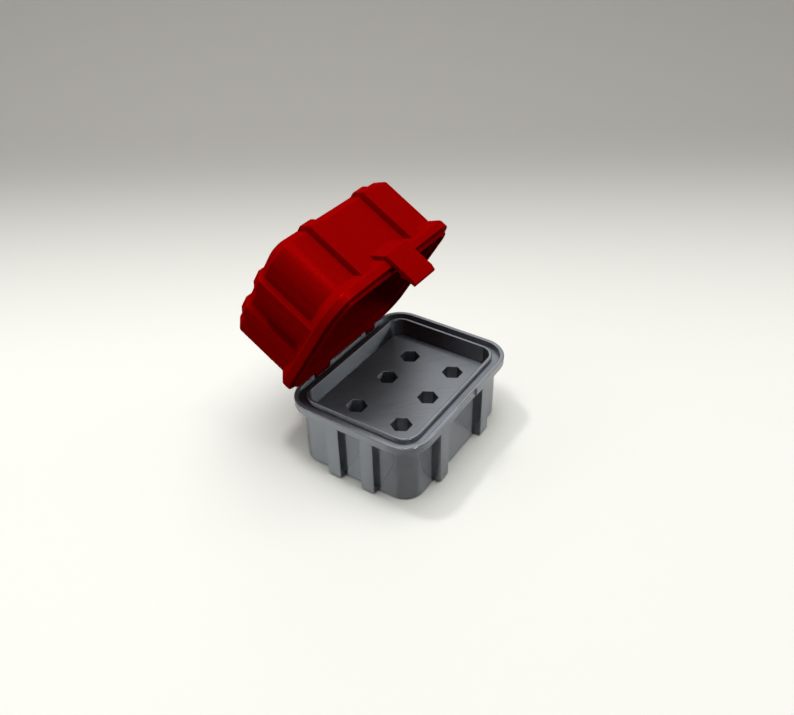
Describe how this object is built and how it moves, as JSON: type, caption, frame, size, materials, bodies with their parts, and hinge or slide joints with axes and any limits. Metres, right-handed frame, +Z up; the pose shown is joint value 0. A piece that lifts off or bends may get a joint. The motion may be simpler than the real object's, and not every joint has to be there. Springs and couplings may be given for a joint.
{
  "type": "hinged screwdriver bit box",
  "caption": "Small hinged box with ribbed walls, deep lid on pinned hinges, snap latch and an insert with hexagonal sockets for screwdriver bits.",
  "frame": {"origin": "centre of the flat underside of the base", "axes": "+Z up, X along the hinge line, -Y towards the latch, +Y towards the hinge; the lid stands open at 59 degrees as in the picture"},
  "size_m": [0.0702, 0.0788, 0.0878],
  "materials": {
    "silver_plastic": "silver-grey printed plastic with a silky gloss",
    "red_plastic": "deep red printed plastic, satin to gloss",
    "pin_plastic": "cut filament, plain"
  },
  "bodies": {
    "base": {"base_box": "silver_plastic", "bit_block": "silver_plastic", "hinge_pin_left": "pin_plastic", "hinge_pin_right": "pin_plastic"},
    "lid": {"lid_shell": "red_plastic"},
    "latch": {"front_latch": "red_plastic"}
  },
  "joints": [
    {"name": "lid_hinge", "type": "hinge", "parent": "base", "child": "lid", "pos_m": [0, 0.0276, 0.0272], "axis": [-1, 0, 0], "range_deg": [-59, 51]},
    {"name": "latch_flex", "type": "hinge", "parent": "lid", "child": "latch", "pos_m": [0, 0.00102, 0.07784], "axis": [-1, 0, 0], "range_deg": [0, 9], "stiffness_Nm_per_rad": 0.4}
  ]
}
